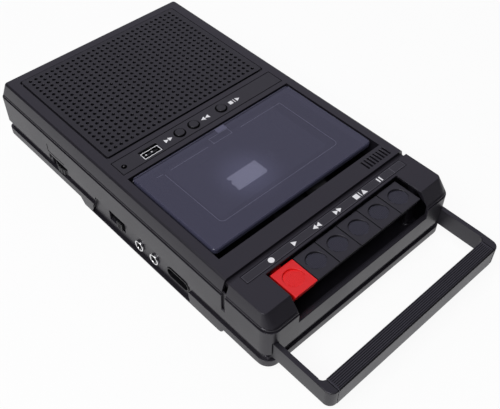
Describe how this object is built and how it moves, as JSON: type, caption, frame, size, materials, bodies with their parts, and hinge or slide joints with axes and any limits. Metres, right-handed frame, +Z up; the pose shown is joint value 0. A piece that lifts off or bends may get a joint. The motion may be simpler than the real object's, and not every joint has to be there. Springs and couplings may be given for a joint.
{
  "type": "cassette recorder",
  "caption": "Flat portable cassette recorder with piano keys along its front, a flip-up smoked cassette door, a perforated speaker panel and a pull-out carrying handle.",
  "frame": {"origin": "middle of the case on the plinth's underside, where it stands", "axes": "+X to the right seen from the keys, +Y to the speaker end, +Z up"},
  "size_m": [0.156, 0.3098, 0.0511],
  "materials": {
    "case_plastic": "fine moulded texture",
    "grille_plastic": "moulded, perforated",
    "key_plastic": "moulded with a textured finger dish",
    "record_red": "moulded with a textured finger dish",
    "smoked_window": "polished smoked plastic",
    "dark_plastic": "moulded",
    "rubber": "matt",
    "steel": "plated",
    "nickel": "bright plated",
    "white_plastic": "moulded",
    "bronze": "turned",
    "red_lens": "clear tinted",
    "ferrite": "pressed",
    "cone_paper": "pressed paper",
    "circuit_board": "lacquered",
    "transformer_iron": "varnished"
  },
  "bodies": {
    "case": {"lower_case": "case_plastic", "top_cover": "case_plastic", "rubber_feet": "rubber", "case_screws": "steel", "speaker_grille": "grille_plastic", "speaker_frame": "steel", "speaker_cone": "cone_paper", "speaker_magnet": "ferrite", "control_strip": "case_plastic", "control_board": "circuit_board", "tact_switches": "dark_plastic", "usb_socket": "nickel", "usb_tongue": "white_plastic", "power_led": "red_lens", "door_hinge_pins": "steel", "label_strip": "case_plastic", "key_shaft": "steel", "key_return_springs": "steel", "mechanism_plate": "steel", "plate_screws": "steel", "tape_reflector": "nickel", "capstan_bearing": "bronze", "drive_motor": "steel", "drive_belt": "rubber", "main_board": "circuit_board", "power_transformer": "transformer_iron", "ac_inlet": "dark_plastic", "mic_jack": "dark_plastic", "ear_jack": "dark_plastic", "jack_nuts": "nickel", "selector_switch": "dark_plastic", "volume_pot": "dark_plastic", "battery_contacts": "nickel", "microphone": "nickel"},
    "handle": {"handle_frame": "case_plastic", "handle_grip": "rubber"},
    "cassette_door": {"door_window": "smoked_window", "cassette_carrier": "dark_plastic"},
    "flywheel_set": {"flywheel": "steel", "capstan_shaft": "steel"},
    "head_carriage": {"head_bridge": "steel", "record_play_head": "steel", "erase_head": "dark_plastic", "pinch_arm": "steel"},
    "record_key": {"record_key": "record_red"},
    "play_key": {"play_key": "key_plastic"},
    "rewind_key": {"rewind_key": "key_plastic"},
    "fast_forward_key": {"fast_forward_key": "key_plastic"},
    "stop_eject_key": {"stop_eject_key": "key_plastic"},
    "pause_key": {"pause_key": "key_plastic"},
    "next_button": {"next_button": "dark_plastic"},
    "previous_button": {"previous_button": "dark_plastic"},
    "play_stop_button": {"play_stop_button": "dark_plastic"},
    "volume_wheel": {"volume_wheel": "dark_plastic"},
    "selector_knob": {"selector_knob": "dark_plastic"},
    "supply_spindle": {"supply_spindle": "white_plastic"},
    "takeup_spindle": {"takeup_spindle": "white_plastic"},
    "motor_pulley": {"motor_pulley": "bronze"},
    "pinch_roller": {"pinch_roller": "rubber"},
    "battery_door": {"battery_door": "case_plastic"}
  },
  "joints": [
    {"name": "handle_slide", "type": "slide", "parent": "case", "child": "handle", "axis": [0, 1, 0], "range_m": [0, 0.0285]},
    {"name": "door_hinge", "type": "hinge", "parent": "case", "child": "cassette_door", "pos_m": [0, -0.0032, 0.0485], "axis": [-1, 0, 0], "range_deg": [0, 55]},
    {"name": "record_key_press", "type": "hinge", "parent": "case", "child": "record_key", "pos_m": [0, -0.097, 0.036], "axis": [1, 0, 0], "range_deg": [0, 9], "stiffness_Nm_per_rad": 0.3, "springref_deg": -17.19},
    {"name": "play_key_press", "type": "hinge", "parent": "case", "child": "play_key", "pos_m": [0, -0.097, 0.036], "axis": [1, 0, 0], "range_deg": [0, 9], "stiffness_Nm_per_rad": 0.3, "springref_deg": -17.19},
    {"name": "rewind_key_press", "type": "hinge", "parent": "case", "child": "rewind_key", "pos_m": [0, -0.097, 0.036], "axis": [1, 0, 0], "range_deg": [0, 9], "stiffness_Nm_per_rad": 0.3, "springref_deg": -17.19},
    {"name": "fast_forward_key_press", "type": "hinge", "parent": "case", "child": "fast_forward_key", "pos_m": [0, -0.097, 0.036], "axis": [1, 0, 0], "range_deg": [0, 9], "stiffness_Nm_per_rad": 0.3, "springref_deg": -17.19},
    {"name": "stop_eject_key_press", "type": "hinge", "parent": "case", "child": "stop_eject_key", "pos_m": [0, -0.097, 0.036], "axis": [1, 0, 0], "range_deg": [0, 9], "stiffness_Nm_per_rad": 0.3, "springref_deg": -17.19},
    {"name": "pause_key_press", "type": "hinge", "parent": "case", "child": "pause_key", "pos_m": [0, -0.097, 0.036], "axis": [1, 0, 0], "range_deg": [0, 9], "stiffness_Nm_per_rad": 0.3, "springref_deg": -17.19},
    {"name": "next_button_press", "type": "slide", "parent": "case", "child": "next_button", "axis": [0, 0, -1], "range_m": [0, 0.0006], "stiffness_N_per_m": 1500, "springref_m": -0.0005},
    {"name": "previous_button_press", "type": "slide", "parent": "case", "child": "previous_button", "axis": [0, 0, -1], "range_m": [0, 0.0006], "stiffness_N_per_m": 1500, "springref_m": -0.0005},
    {"name": "play_stop_button_press", "type": "slide", "parent": "case", "child": "play_stop_button", "axis": [0, 0, -1], "range_m": [0, 0.0006], "stiffness_N_per_m": 1500, "springref_m": -0.0005},
    {"name": "volume_turn", "type": "hinge", "parent": "case", "child": "volume_wheel", "pos_m": [-0.0618, 0.06775, 0.015], "axis": [0, 0, 1], "range_deg": [-135, 135]},
    {"name": "selector_slide", "type": "slide", "parent": "case", "child": "selector_knob", "axis": [0, 1, 0], "range_m": [0, 0.009]},
    {"name": "supply_spin", "type": "hinge", "parent": "case", "child": "supply_spindle", "pos_m": [-0.02125, -0.0365, 0.035], "axis": [0, 0, 1], "continuous": true},
    {"name": "takeup_spin", "type": "hinge", "parent": "case", "child": "takeup_spindle", "pos_m": [0.02125, -0.0365, 0.035], "axis": [0, 0, 1], "continuous": true},
    {"name": "flywheel_spin", "type": "hinge", "parent": "case", "child": "flywheel_set", "pos_m": [0.0207, -0.0625, 0.01], "axis": [0, 0, 1], "continuous": true},
    {"name": "pulley_spin", "type": "hinge", "parent": "case", "child": "motor_pulley", "pos_m": [-0.036, -0.07, 0.008], "axis": [0, 0, 1], "continuous": true},
    {"name": "head_carriage_slide", "type": "slide", "parent": "case", "child": "head_carriage", "axis": [0, 1, 0], "range_m": [0, 0.0039]},
    {"name": "pinch_spin", "type": "hinge", "parent": "head_carriage", "child": "pinch_roller", "pos_m": [0.0207, -0.0737, 0.038], "axis": [0, 0, 1], "continuous": true},
    {"name": "battery_door_lift", "type": "slide", "parent": "case", "child": "battery_door", "axis": [0, 0, -1], "range_m": [0, 0.03]}
  ],
  "couplings": [
    {"joint": "pulley_spin", "follows": "flywheel_spin", "ratio": 4.4},
    {"joint": "play_key_press", "follows": "head_carriage_slide", "rad_per_m": 40.2}
  ]
}
